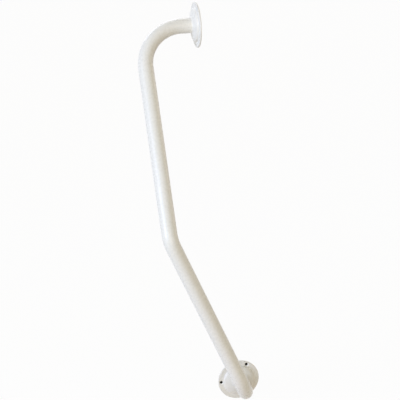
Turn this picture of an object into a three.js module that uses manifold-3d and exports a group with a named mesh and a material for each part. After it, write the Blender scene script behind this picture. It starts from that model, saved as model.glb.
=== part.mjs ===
// Newel post grab bar: one bent steel tube, white coated, with a pressed round flange welded on
// each end. Millimetres, +Z up. The lower flange sits on the front of a post, in the plane Y = 0,
// with its centre at the origin. The upper flange sits on a side face that looks towards -X.

import * as THREE from 'three';
import { mergeVertices } from 'three/addons/utils/BufferGeometryUtils.js';
import Module from 'manifold-3d';

const wasm = await Module();
wasm.setup();

const degree = Math.PI / 180;

// Tube
const tubeDiameter = 25.4;
const tubeWall = 1.8;
const tubeSides = 36;

// Route of the tube's centre line. The runs are measured between the corners that the bends round
// off, and each end is straight from its mounting face to its bend.
const endStraight = 27;
const lowerLength = 345;
const lowerLean = 22 * degree;
const upperLength = 355;
const upperSlope = 60 * degree;
const endBendRadius = 68;
const middleBendRadius = 40;
const endBendSteps = 12;
const middleBendSteps = 5;

// Flanges: a flat rim round a raised dome that the tube passes through
const flangeDiameter = 75;
const sheet = 2.5;
const rimRound = 0.9;
const rimWidth = 10;
const domeRise = 6.8;
const domeFoot = 1.8;
const domeFullness = 1.5;
const flangeSides = 48;
const footSteps = 2;
const domeSteps = 7;

// Fixing holes, countersunk from the front, with their centres set in from the flange's edge
const holeInset = 5.5;
const holeCount = 3;
const holeDiameter = 4.2;
const countersinkDiameter = 8;
const holeSides = 16;
const cutterOverrun = 4;
const lowerHoleTurn = -88 * degree;
const upperHoleTurn = 90 * degree;

// Joint between tube and flange
const clearance = 0.3;
const tubeBehindDome = 1;
const weldLeg = 1.8;
const weldToe = 0.3;
const weldSteps = 3;

// Coating: its colour, and how rough it lies on each kind of piece
const coatingWhite = 0xf1efe9;
const weldWhite = 0xeceae3;
const tubeRoughness = 0.28;
const flangeRoughness = 0.3;
const weldRoughness = 0.34;

const standOff = endStraight + endBendRadius;
const tubeRadius = tubeDiameter / 2;
const seatRadius = tubeRadius + clearance;
const domeRadius = flangeDiameter / 2 - rimWidth;
const holeCircleRadius = flangeDiameter / 2 - holeInset;
const domeTop = sheet + domeRise;
const tubeEndHeight = domeRise - tubeBehindDome;

// A centre line of straight runs and round bends. Each run is one step and each bend a few, and
// equal steps of the curve's parameter are equal counts of these steps.
class BentLine extends THREE.Curve {
  constructor(corners, radii, bendSteps) {
    super();
    this.pieces = [];
    let from = corners[0];
    for (let i = 1; i < corners.length - 1; i += 1) {
      const bend = makeBend(corners[i - 1], corners[i], corners[i + 1], radii[i - 1]);
      this.pieces.push({ steps: 1, line: new THREE.LineCurve3(from, bend.start) });
      this.pieces.push({ steps: bendSteps[i - 1], bend });
      from = bend.end;
    }
    this.pieces.push({ steps: 1, line: new THREE.LineCurve3(from, corners[corners.length - 1]) });
    this.steps = this.pieces.reduce((sum, piece) => sum + piece.steps, 0);
  }

  locate(t) {
    let left = t * this.steps;
    for (const piece of this.pieces) {
      if (left <= piece.steps) {
        return { piece, share: left / piece.steps };
      }
      left -= piece.steps;
    }
    return { piece: this.pieces[this.pieces.length - 1], share: 1 };
  }

  getPoint(t, target = new THREE.Vector3()) {
    const { piece, share } = this.locate(t);
    if (piece.line) {
      return target.copy(piece.line.getPoint(share));
    }
    const { centre, arm, axis, angle } = piece.bend;
    return target.copy(arm).applyAxisAngle(axis, angle * share).add(centre);
  }

  getTangent(t, target = new THREE.Vector3()) {
    const { piece, share } = this.locate(t);
    if (piece.line) {
      return target.copy(piece.line.getTangent(share));
    }
    const { arm, axis, angle } = piece.bend;
    return target.crossVectors(axis, arm).normalize().applyAxisAngle(axis, angle * share);
  }

  getPointAt(u, target) {
    return this.getPoint(u, target);
  }

  getTangentAt(u, target) {
    return this.getTangent(u, target);
  }
}

// The round that joins two straight runs at a corner
function makeBend(before, corner, after, radius) {
  const back = new THREE.Vector3().subVectors(before, corner).normalize();
  const ahead = new THREE.Vector3().subVectors(after, corner).normalize();
  const angle = Math.PI - back.angleTo(ahead);
  const setback = radius * Math.tan(angle / 2);
  const start = corner.clone().addScaledVector(back, setback);
  const end = corner.clone().addScaledVector(ahead, setback);
  const middle = back.clone().add(ahead).normalize();
  const centre = corner.clone().addScaledVector(middle, radius / Math.cos(angle / 2));
  const arm = start.clone().sub(centre);
  const axis = new THREE.Vector3().crossVectors(arm, end.clone().sub(centre)).normalize();
  return { start, end, centre, arm, axis, angle };
}

function toSolid(geometry) {
  const bare = geometry.clone();
  bare.deleteAttribute('normal');
  bare.deleteAttribute('uv');
  const merged = mergeVertices(bare);
  return new wasm.Manifold(new wasm.Mesh({
    numProp: 3,
    vertProperties: new Float32Array(merged.attributes.position.array),
    triVerts: new Uint32Array(merged.index.array),
  }));
}

function toGeometry(solid) {
  const mesh = solid.getMesh();
  const geometry = new THREE.BufferGeometry();
  geometry.setAttribute('position', new THREE.BufferAttribute(mesh.vertProperties, 3));
  geometry.setIndex(new THREE.BufferAttribute(mesh.triVerts, 1));
  geometry.computeVertexNormals();
  return geometry;
}

// Points of an arc from one angle to another, both ends included
function arcPoints(x, y, radius, fromAngle, toAngle, steps) {
  return Array.from({ length: steps + 1 }, (_, i) => {
    const angle = fromAngle + ((toAngle - fromAngle) * i) / steps;
    return new THREE.Vector2(x + radius * Math.cos(angle), y + radius * Math.sin(angle));
  });
}

// One side of the dome, from its foot up to the hole for the tube. Its height falls off from the
// top as the root of 1 minus a power of the way out, so it is flat at the tube and upright below.
function domePoints(footRadius, footHeight, topHeight) {
  return Array.from({ length: domeSteps }, (_, i) => {
    const way = Math.cos(((i + 1) / domeSteps) * (Math.PI / 2)) ** (2 / domeFullness);
    const radius = seatRadius + (footRadius - seatRadius) * way;
    const height = footHeight + (topHeight - footHeight) * Math.sqrt(1 - way ** domeFullness);
    return new THREE.Vector2(radius, height);
  });
}

// Section of the pressed flange: edge of the rim, front of the dome, back of the dome
function flangeProfile() {
  const outer = flangeDiameter / 2;
  const footCentre = domeRadius + domeFoot;
  const footHeight = sheet + domeFoot;
  const backRound = rimRound / 2;
  const quarter = Math.PI / 2;
  const points = [
    ...arcPoints(outer - backRound, backRound, backRound, -quarter, 0, 1),
    ...arcPoints(outer - rimRound, sheet - rimRound, rimRound, 0, quarter, footSteps),
    ...arcPoints(footCentre, footHeight, domeFoot, 3 * quarter, 2 * quarter, footSteps),
    ...domePoints(domeRadius, footHeight, domeTop),
    ...domePoints(domeRadius - sheet, footHeight, domeRise).reverse(),
    ...arcPoints(footCentre, footHeight, sheet + domeFoot, 2 * quarter, 3 * quarter, footSteps),
  ];
  points.push(points[0].clone());
  return points;
}

// Drill and countersink in one, standing on the flange's back face
function holeCutter() {
  const hole = holeDiameter / 2;
  const sink = countersinkDiameter / 2;
  return new THREE.LatheGeometry([
    new THREE.Vector2(0, -cutterOverrun),
    new THREE.Vector2(hole, -cutterOverrun),
    new THREE.Vector2(hole, sheet - (sink - hole)),
    new THREE.Vector2(sink, sheet),
    new THREE.Vector2(sink, sheet + cutterOverrun),
    new THREE.Vector2(0, sheet + cutterOverrun),
  ], holeSides);
}

function flangeGeometry() {
  let solid = toSolid(new THREE.LatheGeometry(flangeProfile(), flangeSides));
  for (let i = 0; i < holeCount; i += 1) {
    const cutter = holeCutter();
    cutter.translate(0, 0, holeCircleRadius);
    cutter.rotateY((i / holeCount) * 2 * Math.PI);
    solid = solid.subtract(toSolid(cutter));
  }
  return toGeometry(solid);
}

// Fillet of weld under the coating, hollow towards the open, round the tube on top of the dome
function weldGeometry() {
  const seat = domeTop + clearance;
  const outside = arcPoints(
    seatRadius + weldLeg,
    seat + weldLeg,
    weldLeg,
    (3 / 2) * Math.PI,
    Math.PI,
    weldSteps,
  );
  const profile = [
    new THREE.Vector2(seatRadius, seat),
    new THREE.Vector2(seatRadius + weldLeg, seat),
    ...outside.map((point) => new THREE.Vector2(point.x + weldToe, point.y + weldToe)),
    new THREE.Vector2(seatRadius, seat + weldLeg + weldToe),
  ];
  profile.push(profile[0].clone());
  return new THREE.LatheGeometry(profile, flangeSides);
}

// The centre line runs from the lower post face out to the bar, up the two straight runs and back
// to the side face
function centreLine() {
  const lowerFace = new THREE.Vector3(0, 0, 0);
  const lowerCorner = new THREE.Vector3(0, -standOff, 0);
  const lowerWay = new THREE.Vector3(-Math.sin(lowerLean), 0, Math.cos(lowerLean));
  const upperWay = new THREE.Vector3(0, Math.cos(upperSlope), Math.sin(upperSlope));
  const middleCorner = lowerCorner.clone().addScaledVector(lowerWay, lowerLength);
  const upperCorner = middleCorner.clone().addScaledVector(upperWay, upperLength);
  const upperFace = upperCorner.clone().add(new THREE.Vector3(standOff, 0, 0));
  return { lowerFace, lowerCorner, middleCorner, upperCorner, upperFace };
}

function tubeGeometry() {
  const { lowerFace, lowerCorner, middleCorner, upperCorner, upperFace } = centreLine();
  const lowerEnd = lowerFace.clone().add(new THREE.Vector3(0, -tubeEndHeight, 0));
  const upperEnd = upperFace.clone().add(new THREE.Vector3(-tubeEndHeight, 0, 0));
  const path = new BentLine(
    [lowerEnd, lowerCorner, middleCorner, upperCorner, upperEnd],
    [endBendRadius, middleBendRadius, endBendRadius],
    [endBendSteps, middleBendSteps, endBendSteps],
  );
  const section = new THREE.Shape().absarc(0, 0, tubeRadius, 0, 2 * Math.PI);
  section.holes.push(new THREE.Path().absarc(0, 0, tubeRadius - tubeWall, 0, 2 * Math.PI));
  return new THREE.ExtrudeGeometry(section, {
    steps: path.steps,
    curveSegments: tubeSides / 2,
    extrudePath: path,
  });
}

function coated(name, geometry, color, roughness) {
  const material = new THREE.MeshStandardMaterial({ color, roughness, metalness: 0 });
  const mesh = new THREE.Mesh(geometry, material);
  mesh.name = name;
  return mesh;
}

const group = new THREE.Group();
const { upperFace } = centreLine();

group.add(coated('rail_tube', tubeGeometry(), coatingWhite, tubeRoughness));

// Each seat's +Y points from its mounting face along the tube
const lowerSeat = new THREE.Group();
lowerSeat.rotation.x = Math.PI;
const lowerFlange = coated('lower_flange', flangeGeometry(), coatingWhite, flangeRoughness);
lowerFlange.rotation.y = lowerHoleTurn;
lowerSeat.add(lowerFlange);
lowerSeat.add(coated('lower_weld', weldGeometry(), weldWhite, weldRoughness));
group.add(lowerSeat);

const upperSeat = new THREE.Group();
upperSeat.position.copy(upperFace);
upperSeat.rotation.z = Math.PI / 2;
const upperFlange = coated('upper_flange', flangeGeometry(), coatingWhite, flangeRoughness);
upperFlange.rotation.y = upperHoleTurn;
upperSeat.add(upperFlange);
upperSeat.add(coated('upper_weld', weldGeometry(), weldWhite, weldRoughness));
group.add(upperSeat);

export default group;
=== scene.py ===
import math

import bmesh
import bpy
import numpy as np
from mathutils import Matrix, Vector


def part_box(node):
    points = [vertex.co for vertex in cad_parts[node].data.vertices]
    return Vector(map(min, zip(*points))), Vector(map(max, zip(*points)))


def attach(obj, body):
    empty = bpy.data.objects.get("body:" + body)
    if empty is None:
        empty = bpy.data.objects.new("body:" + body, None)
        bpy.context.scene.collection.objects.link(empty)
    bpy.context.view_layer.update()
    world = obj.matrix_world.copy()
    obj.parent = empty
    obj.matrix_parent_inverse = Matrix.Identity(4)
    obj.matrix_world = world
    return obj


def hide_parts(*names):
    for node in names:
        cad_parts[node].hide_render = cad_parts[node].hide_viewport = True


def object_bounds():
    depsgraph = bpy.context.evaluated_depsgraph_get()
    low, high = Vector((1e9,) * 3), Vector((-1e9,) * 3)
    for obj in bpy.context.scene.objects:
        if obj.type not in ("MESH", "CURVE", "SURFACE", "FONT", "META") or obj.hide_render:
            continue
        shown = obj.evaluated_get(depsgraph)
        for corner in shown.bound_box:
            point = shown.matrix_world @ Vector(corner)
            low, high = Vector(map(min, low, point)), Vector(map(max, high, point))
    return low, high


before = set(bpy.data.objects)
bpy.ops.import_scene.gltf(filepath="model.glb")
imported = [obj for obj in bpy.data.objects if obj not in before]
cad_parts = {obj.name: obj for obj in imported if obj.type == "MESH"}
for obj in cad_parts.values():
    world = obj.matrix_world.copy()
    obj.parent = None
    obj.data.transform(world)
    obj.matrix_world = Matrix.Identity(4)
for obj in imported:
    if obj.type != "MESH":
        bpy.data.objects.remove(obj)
cad_low, cad_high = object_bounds()


# Camera
# A long lens in front of the post, a little left of the lower flange and above it, leant over by
# two degrees. Its aim is the point that shows at the centre of the picture.
camera_aim = Vector((-0.07656, -0.08443, 0.38007))
camera_azimuth = math.radians(-12.31)
camera_elevation = math.radians(19.71)
camera_lean = math.radians(-2.18)
camera_distance = 1.60827
focal_length_mm = 91.46
film_width_mm = 36


def direction_of(azimuth, elevation):
    """The unit vector (sin a cos e, -cos a cos e, sin e), where azimuth 0 is the front."""
    return Vector((
        math.sin(azimuth) * math.cos(elevation),
        -math.cos(azimuth) * math.cos(elevation),
        math.sin(elevation),
    ))


camera_data = bpy.data.cameras.new("camera")
camera_data.lens = focal_length_mm
camera_data.sensor_width = film_width_mm
camera = bpy.data.objects.new("camera", camera_data)
to_camera = direction_of(camera_azimuth, camera_elevation)
camera_turn = to_camera.to_track_quat("Z", "Y").to_matrix() @ Matrix.Rotation(camera_lean, 3, "Z")
camera_place = Matrix.Translation(camera_aim + camera_distance * to_camera)
camera.matrix_world = camera_place @ camera_turn.to_4x4()
bpy.context.scene.collection.objects.link(camera)
bpy.context.scene.camera = camera


# Rail tube
# One length of 25.4 mm steel tube, bent cold three times and then powder coated off-white. The coat
# stops at its two open ends, which sit inside the flanges, and the bore is bare steel.
tube_radius = 0.0127
tube_wall = 0.0018
tube_end_height = 0.0058
end_straight = 0.027
lower_length = 0.345
lower_lean = math.radians(22)
upper_length = 0.355
upper_slope = math.radians(60)
end_bend_radius = 0.068
middle_bend_radius = 0.040
bend_flattening = 0.035
bend_widening = 0.010
bend_ease = 0.016
straight_step = 0.006
bend_step = math.radians(2.5)
tube_sides = 96
lip_shares = np.array((0.15, 0.5, 0.85))
smooth_up_to = math.radians(40)

coat_colour = np.array((0.87, 0.865, 0.84))
coat_ior = 1.5
tube_coat_roughness = 0.27
drift_scale, drift_detail = 14, 3
drift_share = np.array((0.975, 0.975, 0.955))
gloss_scale, gloss_detail = 220, 2
gloss_noise = (0.3, 0.7)
gloss_spread = np.array((-0.03, 0.05))
peel_scale, peel_detail = 480, 1.5
peel_strength = 0.3
peel_depth = 0.00006

steel_dark = (0.055, 0.050, 0.048)
steel_light = (0.21, 0.195, 0.18)
steel_places = (0.35, 0.7)
steel_scale, steel_detail = 260, 5
steel_roughness = (0.7, 0.42)
steel_metallic = 0.8


def unit(vector):
    """A vector divided by its own length."""
    return vector / np.linalg.norm(vector)


def turned(vector, axis, angles):
    """The vector v turned by each angle t about the unit axis k:
    v cos t + (k x v) sin t + k (k . v) (1 - cos t)."""
    cosine = np.cos(angles)[:, None]
    sine = np.sin(angles)[:, None]
    return vector * cosine + np.cross(axis, vector) * sine + axis * (axis @ vector) * (1 - cosine)


def bent_route(corners, radii):
    """The centre line of a bent tube: straight runs from corner to corner, with a round bend at each
    inner corner, which touches its two runs at radius * tan(angle / 2) from it. Returns arrays of
    points, of directions along the line, of directions square to it and of distances along it, and
    for each bend its axis and the distances at which it starts and ends."""
    ways = [unit(end - start) for start, end in zip(corners[:-1], corners[1:])]
    angles = [math.acos(before @ after) for before, after in zip(ways[:-1], ways[1:])]
    setbacks = [0.0, *(radius * math.tan(angle / 2) for radius, angle in zip(radii, angles)), 0.0]
    side = unit(np.cross(ways[0], (0.0, 0.0, 1.0)))
    stretches = []
    bends = []
    travelled = 0.0
    for i, way in enumerate(ways):
        start = corners[i] + way * setbacks[i]
        run = np.linalg.norm(corners[i + 1] - corners[i]) - setbacks[i] - setbacks[i + 1]
        steps = np.linspace(0, run, round(run / straight_step) + 1)[:, None]
        same = np.ones_like(steps)
        stretches.append((start + way * steps, way * same, side * same, travelled + steps))
        travelled += run
        if i == len(angles):
            break
        axis = unit(np.cross(way, ways[i + 1]))
        arm = np.cross(way, axis) * radii[i]
        centre = start + way * run - arm
        turn = np.linspace(0, angles[i], round(angles[i] / bend_step) + 1)
        sides = turned(side, axis, turn)
        lengths = travelled + radii[i] * turn[:, None]
        rows = centre + turned(arm, axis, turn)
        stretches.append((rows, turned(way, axis, turn), sides, lengths))
        bends.append((axis, travelled, lengths[-1, 0]))
        side = sides[-1]
        travelled = lengths[-1, 0]
    route = [np.vstack([rows[0], *(more[1:] for more in rows[1:])]) for rows in zip(*stretches)]
    return route, bends


def tube_surface(route, bends, radius):
    """Rings round the centre line, c + s r (side cos t + up sin t), where up = side x ahead. A bend
    is wider along its axis and flatter across it: s = 1 + w (widening q - flattening (1 - q)), where
    q is the square of the part of the ring's direction that lies along the axis, and
    w = e e (3 - 2 e) grows from 0 to 1 as e does over bend_ease at each end of the bend."""
    points, ahead, side, distance = route
    up = np.cross(side, ahead)
    turn = (np.arange(tube_sides) * 2 * math.pi / tube_sides)[:, None]
    out = side[:, None] * np.cos(turn) + up[:, None] * np.sin(turn)
    scale = np.ones(out.shape[:2])
    for axis, start, end in bends:
        ease = np.clip(np.minimum(distance - start, end - distance) / bend_ease + 0.5, 0, 1)
        weight = ease * ease * (3 - 2 * ease)
        along = (out @ axis) ** 2
        scale += weight * (bend_widening * along - bend_flattening * (1 - along))
    return points[:, None] + out * (radius * scale)[..., None]


def wrapped_faces(rows, columns):
    """Quads (i, j), (i, j + 1), (i + 1, j + 1), (i + 1, j) of a grid that closes both ways."""
    i = np.arange(rows)[:, None]
    j = np.arange(columns)[None, :]
    here = i * columns
    below = (i + 1) % rows * columns
    right = (j + 1) % columns
    return np.stack([here + j, here + right, below + right, below + j], axis=-1).reshape(-1, 4)


def new_piece(name, points, faces, sharp_angle=smooth_up_to):
    """A smooth mesh object from arrays of points and faces, with the faces turned outwards."""
    mesh = bpy.data.meshes.new(name)
    mesh.from_pydata(points.tolist(), [], faces.tolist())
    shell = bmesh.new()
    shell.from_mesh(mesh)
    bmesh.ops.recalc_face_normals(shell, faces=shell.faces)
    shell.to_mesh(mesh)
    shell.free()
    mesh.shade_smooth()
    mesh.set_sharp_from_angle(angle=sharp_angle)
    piece = bpy.data.objects.new(name, mesh)
    bpy.context.scene.collection.objects.link(piece)
    return piece


def new_material(name):
    """A material with nodes, its node tree and its surface shader."""
    material = bpy.data.materials.new(name)
    material.use_nodes = True
    return material, material.node_tree, material.node_tree.nodes["Principled BSDF"]


def feed(tree, socket, source):
    """Links a socket to another node's output, or sets it to a number or a colour."""
    if isinstance(source, bpy.types.NodeSocket):
        tree.links.new(source, socket)
    elif socket.type == "RGBA":
        socket.default_value = (*source, 1)
    else:
        socket.default_value = source


def noise(tree, scale, detail):
    """A noise from 0 to 1 that is fixed to the piece, with swells about 1 / scale metres across."""
    place = tree.nodes.new("ShaderNodeTexCoord")
    texture = tree.nodes.new("ShaderNodeTexNoise")
    feed(tree, texture.inputs["Vector"], place.outputs["Object"])
    feed(tree, texture.inputs["Scale"], scale)
    feed(tree, texture.inputs["Detail"], detail)
    return texture.outputs["Fac"]


def mapped(tree, value, source_range, target_range):
    """A value carried from one range to another and held within it."""
    node = tree.nodes.new("ShaderNodeMapRange")
    feed(tree, node.inputs["Value"], value)
    feed(tree, node.inputs["From Min"], source_range[0])
    feed(tree, node.inputs["From Max"], source_range[1])
    feed(tree, node.inputs["To Min"], target_range[0])
    feed(tree, node.inputs["To Max"], target_range[1])
    return node.outputs["Result"]


def mixed(tree, share, first, second, kind="RGBA"):
    """first (1 - share) + second share, for two colours or, with the kind FLOAT, two numbers."""
    node = tree.nodes.new("ShaderNodeMix")
    node.data_type = kind
    feed(tree, node.inputs["Factor"], share)
    feed(tree, node.inputs["A"], first)
    feed(tree, node.inputs["B"], second)
    return node.outputs["Result"]


def powder_coat(name, colour, roughness):
    """Off-white coat: its colour drifts a little over centimetres, its gloss over millimetres, and
    its skin has the faint swells of a sprayed and baked powder."""
    material, tree, shader = new_material(name)
    drift = noise(tree, drift_scale, drift_detail)
    feed(tree, shader.inputs["Base Color"], mixed(tree, drift, colour * drift_share, colour))
    flow = noise(tree, gloss_scale, gloss_detail)
    gloss = mapped(tree, flow, gloss_noise, roughness + gloss_spread)
    feed(tree, shader.inputs["Roughness"], gloss)
    skin = tree.nodes.new("ShaderNodeBump")
    feed(tree, skin.inputs["Height"], noise(tree, peel_scale, peel_detail))
    feed(tree, skin.inputs["Strength"], peel_strength)
    feed(tree, skin.inputs["Distance"], peel_depth)
    feed(tree, shader.inputs["Normal"], skin.outputs["Normal"])
    feed(tree, shader.inputs["IOR"], coat_ior)
    return material


def bare_steel(name):
    """Uncoated mild steel: dark mill scale, mottled over millimetres and smoother where paler."""
    material, tree, shader = new_material(name)
    mottle = noise(tree, steel_scale, steel_detail)
    share = mapped(tree, mottle, steel_places, (0, 1))
    feed(tree, shader.inputs["Base Color"], mixed(tree, share, steel_dark, steel_light))
    feed(tree, shader.inputs["Roughness"], mapped(tree, mottle, (0, 1), steel_roughness))
    feed(tree, shader.inputs["Metallic"], steel_metallic)
    return material


lower_flange_low, lower_flange_high = map(np.array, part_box("lower_flange"))
upper_flange_low, upper_flange_high = map(np.array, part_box("upper_flange"))
lower_face = (lower_flange_low + lower_flange_high) / 2
lower_face[1] = lower_flange_high[1]
upper_face = (upper_flange_low + upper_flange_high) / 2
upper_face[0] = upper_flange_high[0]
lower_out = np.array((0.0, -1.0, 0.0))
upper_out = np.array((-1.0, 0.0, 0.0))
stand_off = end_straight + end_bend_radius
lower_corner = lower_face + lower_out * stand_off
lower_way = np.array((-math.sin(lower_lean), 0.0, math.cos(lower_lean)))
upper_way = np.array((0.0, math.cos(upper_slope), math.sin(upper_slope)))
middle_corner = lower_corner + lower_way * lower_length
upper_corner = middle_corner + upper_way * upper_length
route, bends = bent_route(
    [
        lower_face + lower_out * tube_end_height,
        lower_corner,
        middle_corner,
        upper_corner,
        upper_face + upper_out * tube_end_height,
    ],
    [end_bend_radius, middle_bend_radius, end_bend_radius],
)

outside = tube_surface(route, bends, tube_radius)
bore = tube_surface(route, bends, tube_radius - tube_wall)[::-1]
lip_steps = lip_shares[:, None, None]
tube_rings = np.concatenate([
    outside,
    outside[-1] + (bore[0] - outside[-1]) * lip_steps,
    bore,
    bore[-1] + (outside[0] - bore[-1]) * lip_steps,
])
tube_faces = wrapped_faces(len(tube_rings), tube_sides)
rail_tube = new_piece("bent_rail_tube", tube_rings.reshape(-1, 3), tube_faces)
rail_tube.data.materials.append(powder_coat("tube_coat", coat_colour, tube_coat_roughness))
rail_tube.data.materials.append(bare_steel("bore_steel"))
bare_rings = np.arange(len(tube_rings)) >= len(outside) - 1
coat_or_steel = np.repeat(bare_rings, tube_sides).astype(np.int32)
rail_tube.data.polygons.foreach_set("material_index", coat_or_steel)
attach(rail_tube, "root")
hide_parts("rail_tube")


# Flanges
# Each is a disc of 2.5 mm steel, pressed so that a dome stands inside a flat rim, with three
# countersunk screw holes. The tube passes through the dome's mouth. The coat covers both faces and
# the countersinks, and stops in the holes, whose walls are bare steel painted near black as shade.
sheet = 0.0025
rim_round = 0.0009
back_round = 0.00045
rim_width = 0.010
dome_rise = 0.0068
dome_foot = 0.0018
dome_fullness = 1.5
mouth_clearance = 0.0003
hole_inset = 0.0055
hole_radius = 0.0021
countersink_radius = 0.0040
edge_round = 0.00015
edge_middle_share = 0.3
cone_start_in_share = 0.5
cone_start_down_share = 0.8
cone_rings = ((0.45, 0), (0.66, 0), (0.80, 1))
hole_count = 3
lower_hole_clock = math.radians(28)
flange_columns = 240
window_columns = 12
window_rows = 14
rim_flat_rows = 8
back_round_steps = 4
edge_steps = 2
rim_round_steps = 6
dome_front_steps = 26
dome_back_steps = 18
dome_foot_back_steps = 9
window_shares = (0.75, 0.5, 0.25, 0.0)
flange_smooth_up_to = math.radians(60)

flange_coat_roughness = 0.29
# Near black, darker than the bore's steel: bare steel in the holes with painted shade on it.
hole_steel_and_shade = (0.012, 0.011, 0.010)
hole_steel_roughness = 0.7
coat_edge_scale = 900
coat_edge_detail = 2
coat_edge_raggedness = 0.4
coat_edge_range = (0.65, 0.75)


def arc(across, height, radius, from_degrees, to_degrees, steps):
    """Rows (r, h) at equal angles on an arc round (across, height), without its last point."""
    angles = np.radians(np.linspace(from_degrees, to_degrees, steps, endpoint=False))
    return np.stack([across + radius * np.cos(angles), height + radius * np.sin(angles)], axis=1)


def line(start, end, steps):
    """Rows (r, h) at equal spaces on a straight line, without its last point."""
    shares = np.linspace(0, 1, steps, endpoint=False)[:, None]
    return np.array(start) + (np.array(end) - np.array(start)) * shares


def dome_side(mouth, foot, foot_height, top_height, steps):
    """Rows (r, h) from the foot up to the mouth: r = mouth + (foot - mouth) x and
    h = foot height + (top height - foot height) sqrt(1 - x^n), where x runs from 1 to 0 and n is
    dome_fullness. The dome is upright at its foot and flat on top."""
    way = np.cos(np.linspace(0, math.pi / 2, steps)) ** (2 / dome_fullness)
    height = foot_height + (top_height - foot_height) * np.sqrt(1 - way ** dome_fullness)
    return np.stack([mouth + (foot - mouth) * way, height], axis=1)


flange_radius = (lower_flange_high[0] - lower_flange_low[0]) / 2
foot_radius = flange_radius - rim_width
foot_centre = foot_radius + dome_foot
foot_height = sheet + dome_foot
mouth_radius = tube_radius + mouth_clearance
rim_top = flange_radius - rim_round
rim_back = flange_radius - back_round
outer_edge = np.concatenate([
    arc(rim_back, back_round, back_round, -90, 0, back_round_steps),
    line((flange_radius, back_round), (flange_radius, sheet - rim_round), edge_steps),
    arc(rim_top, sheet - rim_round, rim_round, 0, 90, rim_round_steps),
])
front_side = np.concatenate([
    line((rim_top, sheet), (foot_centre, sheet), rim_flat_rows),
    arc(foot_centre, foot_height, dome_foot, 270, 180, window_rows - rim_flat_rows),
    dome_side(mouth_radius, foot_radius, foot_height, sheet + dome_rise, dome_front_steps),
])
dome_inside = dome_side(mouth_radius, foot_radius - sheet, foot_height, dome_rise, dome_back_steps)
back_side = np.concatenate([
    dome_inside[::-1],
    arc(foot_centre, foot_height, sheet + dome_foot, 180, 270, dome_foot_back_steps)[1:],
    line((foot_centre, 0), (rim_back, 0), window_rows),
])
flange_section = np.concatenate([outer_edge, front_side, back_side])
front_window = len(outer_edge)
back_window = len(flange_section) - window_rows

# The rings of a hole, each with its radius, its height and its share of bare steel and painted
# shade.
# They go over the countersink's rounded edge, down its cone and the hole's wall, and round its back
# edge.
cone_depth = countersink_radius - hole_radius
wall_top = sheet - cone_depth
edge_middle = edge_middle_share * edge_round
cone_start_in = cone_start_in_share * edge_round
cone_start_down = cone_start_down_share * edge_round
cone_steps = [
    (countersink_radius - share * cone_depth, sheet - share * cone_depth, bare)
    for share, bare in cone_rings
]
hole_steps = (
    (countersink_radius + edge_middle, sheet - edge_middle, 0),
    (countersink_radius - cone_start_in, sheet - cone_start_down, 0),
    *cone_steps,
    (hole_radius + edge_round, wall_top + edge_round, 1),
    (hole_radius, wall_top - edge_round, 1),
    (hole_radius, edge_round, 1),
    (hole_radius + edge_middle, edge_middle, 1),
)
hole_circle_radius = flange_radius - hole_inset
column_angle = 2 * math.pi / flange_columns


def on_coat(row, angle):
    """Places (r, t, h, bare share) on the coated surface, at fractional rows of the section."""
    row, angle = np.broadcast_arrays(row, angle)
    closed = np.vstack([flange_section, flange_section[:1]])
    radius, height = (np.interp(row, np.arange(len(closed)), values) for values in closed.T)
    return np.stack([radius, angle, height, np.zeros_like(radius)], axis=-1)


def window_loop(outer_row, inner_row):
    """Rows and columns of the grid points round a window, counted from its middle column: from the
    middle of its outer side towards greater columns, in along its edge, back along its inner side
    and out along its other edge."""
    half = window_columns // 2
    step = 1 if inner_row > outer_row else -1
    inwards = np.arange(outer_row, inner_row, step)
    outer_side = np.full(half, outer_row)
    inner_side = np.full(window_columns, inner_row)
    rows = np.concatenate([outer_side, inwards, inner_side, inwards[::-1] + step, outer_side])
    edge = np.full(window_rows, half)
    across = np.arange(half)
    back = np.arange(half, -half, -1)
    columns = np.concatenate([across, edge, back, -edge, across - half])
    return rows, columns


def round_the_hole(radius):
    """Distances from the flange's axis, and angles about it, of a ring round the hole's own axis.
    The point at angle a is R + radius cos a outwards and radius sin a across, where R is the hole
    circle's radius."""
    ring_count = 2 * (window_columns + window_rows)
    around = np.arange(ring_count) * 2 * math.pi / ring_count
    outwards = hole_circle_radius + radius * np.cos(around)
    across = radius * np.sin(around)
    return np.hypot(outwards, across), np.arctan2(across, outwards)


def window_rings(loop, first_row, edge_radius):
    """Rings on one face, from near its window in to a circle round the hole: circle + (window -
    circle) * share, in rows and angles of the surface, so that each ring lies on the face."""
    distance, angle = round_the_hole(edge_radius)
    rows = first_row + np.arange(window_rows + 1)
    radii = flange_section[rows % len(flange_section), 0]
    order = np.argsort(radii)
    row = np.interp(distance, radii[order], rows[order])
    loop_rows, loop_columns = loop
    to_row = loop_rows - row
    to_angle = loop_columns * column_angle - angle
    return [on_coat(row + to_row * share, angle + to_angle * share) for share in window_shares]


def hole_ring(radius, height, bare):
    """A ring of places round the hole's axis, at one height above the flange's back face."""
    distance, angle = round_the_hole(radius)
    same = np.ones_like(distance)
    return np.stack([distance, angle, height * same, bare * same], axis=-1)


front_loop = window_loop(front_window, front_window + window_rows)
back_loop = window_loop(back_window + window_rows, back_window)
hole_sleeve = np.stack([
    *window_rings(front_loop, front_window, countersink_radius + edge_round),
    *(hole_ring(*step) for step in hole_steps),
    *window_rings(back_loop, back_window, hole_radius + edge_round)[::-1],
])


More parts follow.
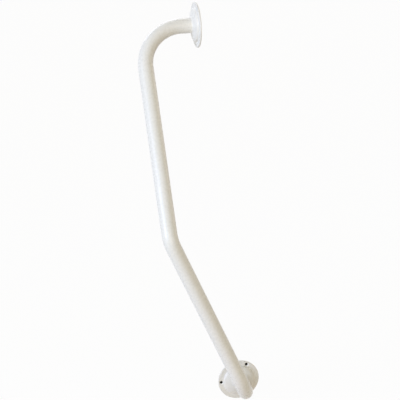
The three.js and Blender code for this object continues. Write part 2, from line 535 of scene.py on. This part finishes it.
def flange_piece(name, centre, out, first_hole):
    """The section carried round the flange's axis: centre + r (first cos t + second sin t) + h out.
    Each face has a window left open at each hole, and a sleeve of rings joins the two windows
    through the hole."""
    rows, columns = len(flange_section), flange_columns
    places = [on_coat(np.arange(rows)[:, None], np.arange(columns) * column_angle).reshape(-1, 4)]
    faces = []
    kept = np.ones((rows, columns), bool)
    sleeve_shape = hole_sleeve.shape[:2]
    for hole in range(hole_count):
        middle = hole * columns // hole_count
        opened = np.arange(middle - window_columns // 2, middle + window_columns // 2) % columns
        for window in (front_window, back_window):
            kept[window:window + window_rows, opened] = False
        made = sum(map(len, places))
        numbers = np.vstack([
            front_loop[0] % rows * columns + (front_loop[1] + middle) % columns,
            made + np.arange(math.prod(sleeve_shape)).reshape(sleeve_shape),
            back_loop[0] % rows * columns + (back_loop[1] + middle) % columns,
        ])
        after = np.roll(numbers, -1, axis=1)
        quads = np.stack([numbers[:-1], after[:-1], after[1:], numbers[1:]], axis=-1)
        faces.append(quads.reshape(-1, 4))
        places.append((hole_sleeve + (0, middle * column_angle, 0, 0)).reshape(-1, 4))
    grid_faces = wrapped_faces(rows, columns)[kept.ravel()]
    used, faces = np.unique(np.concatenate([grid_faces, *faces]), return_inverse=True)
    radius, angle, height, bare = np.concatenate(places)[used].T[..., None]
    flat = first_hole * np.cos(angle) + np.cross(out, first_hole) * np.sin(angle)
    points = centre + flat * radius + out * height
    piece = new_piece(name, points, faces.reshape(-1, 4), flange_smooth_up_to)
    share = piece.data.attributes.new("bare_and_shade_share", "FLOAT", "POINT")
    share.data.foreach_set("value", bare[:, 0].astype(np.float32))
    return piece


def uncover(material):
    """Swaps the coat for bare steel, painted near black as shade in the holes, where the piece's
    share of bare steel is high. The edge is slightly ragged: that share + noise *
    coat_edge_raggedness goes from 0 to 1 over coat_edge_range."""
    tree = material.node_tree
    shader = tree.nodes["Principled BSDF"]
    share = tree.nodes.new("ShaderNodeAttribute")
    share.attribute_name = "bare_and_shade_share"
    ragged = tree.nodes.new("ShaderNodeMath")
    ragged.operation = "MULTIPLY_ADD"
    feed(tree, ragged.inputs[0], noise(tree, coat_edge_scale, coat_edge_detail))
    feed(tree, ragged.inputs[1], coat_edge_raggedness)
    feed(tree, ragged.inputs[2], share.outputs["Fac"])
    bare = mapped(tree, ragged.outputs["Value"], coat_edge_range, (0, 1))
    for name, steel, kind in (
        ("Base Color", hole_steel_and_shade, "RGBA"),
        ("Roughness", hole_steel_roughness, "FLOAT"),
    ):
        socket = shader.inputs[name]
        coated = socket.links[0].from_socket
        feed(tree, socket, mixed(tree, bare, coated, steel, kind))


flange_coat = powder_coat("flange_coat", coat_colour, flange_coat_roughness)
uncover(flange_coat)
lower_first_hole = np.array((math.sin(lower_hole_clock), 0.0, math.cos(lower_hole_clock)))
upper_first_hole = np.array((0.0, 1.0, 0.0))
for name, node, centre, out, first_hole in (
    ("pressed_flange_lower", "lower_flange", lower_face, lower_out, lower_first_hole),
    ("pressed_flange_upper", "upper_flange", upper_face, upper_out, upper_first_hole),
):
    flange = flange_piece(name, centre, out, first_hole)
    flange.data.materials.append(flange_coat)
    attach(flange, "root")
    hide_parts(node)


# Painted shade behind the screw holes
# The bar is screwed flat against a post. A small near-black disc at the back of each hole is
# painted shade, which makes each hole show as a dark spot. The discs aren't part of the object.
disc_height = 0.0002
disc_play = 0.00002
disc_sides = 48
# The discs' two near-black colours are painted shade, mixed by a fine noise.
disc_shade_dark = (0.010, 0.008, 0.006)
disc_shade_light = (0.028, 0.021, 0.015)
disc_shade_scale = 700
disc_shade_detail = 2
disc_shade_roughness = 0.9
disc_shade_specular = 0.1


def painted_shade_discs(name, centre, out, first_hole):
    """A flat round of painted shade in each hole: centre + R (first cos k + second sin k) +
    r (first cos t + second sin t) + h out, where k is the hole's angle. Its middle point comes after
    its rim."""
    second = np.cross(out, first_hole)
    hole_turn = (np.arange(hole_count) * 2 * math.pi / hole_count)[:, None, None]
    middles = hole_circle_radius * (first_hole * np.cos(hole_turn) + second * np.sin(hole_turn))
    rim_turn = (np.arange(disc_sides) * 2 * math.pi / disc_sides)[:, None]
    rim = (hole_radius - disc_play) * (first_hole * np.cos(rim_turn) + second * np.sin(rim_turn))
    points = centre + out * disc_height + middles + np.vstack([rim, np.zeros(3)])
    edge = np.arange(disc_sides)
    fan = np.stack([np.full(disc_sides, disc_sides), edge, (edge + 1) % disc_sides], axis=1)
    faces = fan + np.arange(hole_count)[:, None, None] * (disc_sides + 1)
    return new_piece(name, points.reshape(-1, 3), faces.reshape(-1, 3))


# Near-black paint for the discs, faintly mottled: painted shade seen through the screw holes.
hole_shade_paint, tree, shader = new_material("hole_shade_paint")
disc_shade_mottle = noise(tree, disc_shade_scale, disc_shade_detail)
feed(tree, shader.inputs["Base Color"], mixed(tree, disc_shade_mottle, disc_shade_dark, disc_shade_light))
feed(tree, shader.inputs["Roughness"], disc_shade_roughness)
feed(tree, shader.inputs["Specular IOR Level"], disc_shade_specular)
for name, centre, out, first_hole in (
    ("painted_shade_lower_holes", lower_face, lower_out, lower_first_hole),
    ("painted_shade_upper_holes", upper_face, upper_out, upper_first_hole),
):
    discs = painted_shade_discs(name, centre, out, first_hole)
    discs.data.materials.append(hole_shade_paint)


# Welds
# A hollow fillet of weld joins the tube to the top of each dome. Its faint ripples show through the
# coat, which fills its corners.
weld_leg = 0.0018
weld_sink = 0.0004
weld_columns = 192
weld_rows = 14
ripple_height = 0.00012
ripple_counts = np.array((31, 47, 5))
ripple_shares = np.array((0.5, 0.3, 0.6))
lower_ripple_seed = 11
upper_ripple_seed = 12
# The weld's coat is a touch darker than the rest: painted shade in the corner between tube and dome.
weld_shade_share = 0.985
weld_coat_roughness = 0.32


def weld_piece(name, centre, out, first, seed):
    """A ring with a hollow face, r = R + leg (1 - sin a), h = H + leg (1 - cos a), for a from 0 on
    the dome to 90 degrees on the tube. Sine ripples round the ring, times sin 2a, move the face out.
    Three plain rings, in the tube's wall and in the dome's sheet, close it behind."""
    turn = np.arange(weld_columns) * 2 * math.pi / weld_columns
    starts = np.random.default_rng(seed).uniform(0, 2 * math.pi, len(ripple_counts))
    waves = np.sin(np.outer(ripple_counts, turn) + starts[:, None])
    ripple = ripple_height * (ripple_shares @ waves)
    seat = sheet + dome_rise
    leg = weld_leg + mouth_clearance
    angle = np.linspace(0, math.pi / 2, weld_rows)[:, None]
    bulge = np.sin(2 * angle) * ripple
    inner = np.full(weld_columns, tube_radius - weld_sink)
    outer = np.full(weld_columns, tube_radius + leg)
    low = np.full(weld_columns, seat - weld_sink)
    high = np.full(weld_columns, seat + leg)
    radius = np.vstack([tube_radius + leg * (1 - np.sin(angle)) + bulge, inner, inner, outer])
    height = np.vstack([seat + leg * (1 - np.cos(angle)) + bulge, high, low, low])
    flat = first * np.cos(turn)[:, None] + np.cross(out, first) * np.sin(turn)[:, None]
    points = centre + flat * radius[..., None] + out * height[..., None]
    return new_piece(name, points.reshape(-1, 3), wrapped_faces(len(radius), weld_columns))


weld_coat = powder_coat("weld_coat", coat_colour * weld_shade_share, weld_coat_roughness)
for name, node, centre, out, first, seed in (
    ("weld_fillet_lower", "lower_weld", lower_face, lower_out, lower_first_hole, lower_ripple_seed),
    ("weld_fillet_upper", "upper_weld", upper_face, upper_out, upper_first_hole, upper_ripple_seed),
):
    weld = weld_piece(name, centre, out, first, seed)
    weld.data.materials.append(weld_coat)
    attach(weld, "root")
    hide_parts(node)


# Studio
# A wide floor of warm pale paint just under the bar, a warm sky, four far lamps and a softbox near
# the bar. Seen directly or as a reflection the floor and the sky are white, and the floor keeps the
# bar's shadow.
floor_gap = 0.0005
floor_size = 24.0
floor_warm_paint = (0.56, 0.50, 0.42)
floor_white_paint = (0.97, 0.97, 0.97)
floor_roughness = 0.9
floor_glow_share = 0.94
sky_colour = (1.0, 0.92, 0.72)
sky_strength = 0.36
lamps = (
    ("left_lamp", -70, 12, 25, (0.65, 0.72, 1.0), 1.40),
    ("front_lamp", -10, 12, 50, (1.0, 0.83, 0.63), 0.95),
    ("right_lamp", 110, 12, 50, (1.0, 1.0, 1.0), 0.56),
    ("back_lamp", 180, 30, 50, (0.86, 0.90, 1.0), 0.91),
)
softbox_place = Vector((-0.92, -0.77, 0.75))
softbox_aim = Vector((-0.08, -0.05, 0.33))
softbox_size = 0.7
softbox_colour = (0.53, 0.78, 1.0)
softbox_energy = 3.90


def seen_directly(tree):
    """1 for camera, glossy and transmission rays, 0 for the rays that carry soft light."""
    path = tree.nodes.new("ShaderNodeLightPath")
    seen = path.outputs["Is Camera Ray"]
    for other in ("Is Glossy Ray", "Is Transmission Ray"):
        either = tree.nodes.new("ShaderNodeMath")
        either.operation = "MAXIMUM"
        feed(tree, either.inputs[0], seen)
        feed(tree, either.inputs[1], path.outputs[other])
        seen = either.outputs["Value"]
    return seen


def shader_mix(tree, share, first, second, end):
    """Mixes two shaders by a share and sends the result to the tree's end node."""
    node = tree.nodes.new("ShaderNodeMixShader")
    for socket, source in zip(node.inputs, (share, first, second)):
        feed(tree, socket, source)
    feed(tree, tree.nodes[end].inputs["Surface"], node.outputs["Shader"])


floor_paint, tree, matt = new_material("floor_paint")
seen = seen_directly(tree)
feed(tree, matt.inputs["Base Color"], mixed(tree, seen, floor_warm_paint, floor_white_paint))
feed(tree, matt.inputs["Roughness"], floor_roughness)
feed(tree, matt.inputs["Specular IOR Level"], 0)
glow = tree.nodes.new("ShaderNodeEmission")
glow_share = mixed(tree, seen, 0, floor_glow_share, "FLOAT")
shader_mix(tree, glow_share, matt.outputs["BSDF"], glow.outputs["Emission"], "Material Output")

floor_corners = np.array(((-1, -1), (1, -1), (1, 1), (-1, 1))) * floor_size / 2
floor_height = np.full((4, 1), cad_low[2] - floor_gap)
floor_mesh = bpy.data.meshes.new("floor")
floor_mesh.from_pydata(np.hstack([floor_corners, floor_height]).tolist(), [], [(0, 1, 2, 3)])
floor_mesh.materials.append(floor_paint)
floor = bpy.data.objects.new("floor", floor_mesh)
bpy.context.scene.collection.objects.link(floor)

sky = bpy.data.worlds.new("sky")
sky.use_nodes = True
bpy.context.scene.world = sky
tree = sky.node_tree
soft = tree.nodes["Background"]
feed(tree, soft.inputs["Color"], sky_colour)
feed(tree, soft.inputs["Strength"], sky_strength)
white = tree.nodes.new("ShaderNodeBackground")
feed(tree, white.inputs["Color"], (1, 1, 1))
seen = seen_directly(tree)
shader_mix(tree, seen, soft.outputs["Background"], white.outputs["Background"], "World Output")

for name, azimuth, elevation, softness, colour, strength in lamps:
    lamp_data = bpy.data.lights.new(name, "SUN")
    lamp_data.color = colour
    lamp_data.energy = strength
    lamp_data.angle = math.radians(softness)
    lamp = bpy.data.objects.new(name, lamp_data)
    towards_lamp = direction_of(math.radians(azimuth), math.radians(elevation))
    lamp.rotation_euler = towards_lamp.to_track_quat("Z", "Y").to_euler()
    bpy.context.scene.collection.objects.link(lamp)

softbox_data = bpy.data.lights.new("softbox", "AREA")
softbox_data.shape = "DISK"
softbox_data.size = softbox_size
softbox_data.color = softbox_colour
softbox_data.energy = softbox_energy
softbox = bpy.data.objects.new("softbox", softbox_data)
softbox.location = softbox_place
softbox.rotation_euler = (softbox_place - softbox_aim).to_track_quat("Z", "Y").to_euler()
bpy.context.scene.collection.objects.link(softbox)

bpy.context.scene.view_settings.view_transform = "Standard"
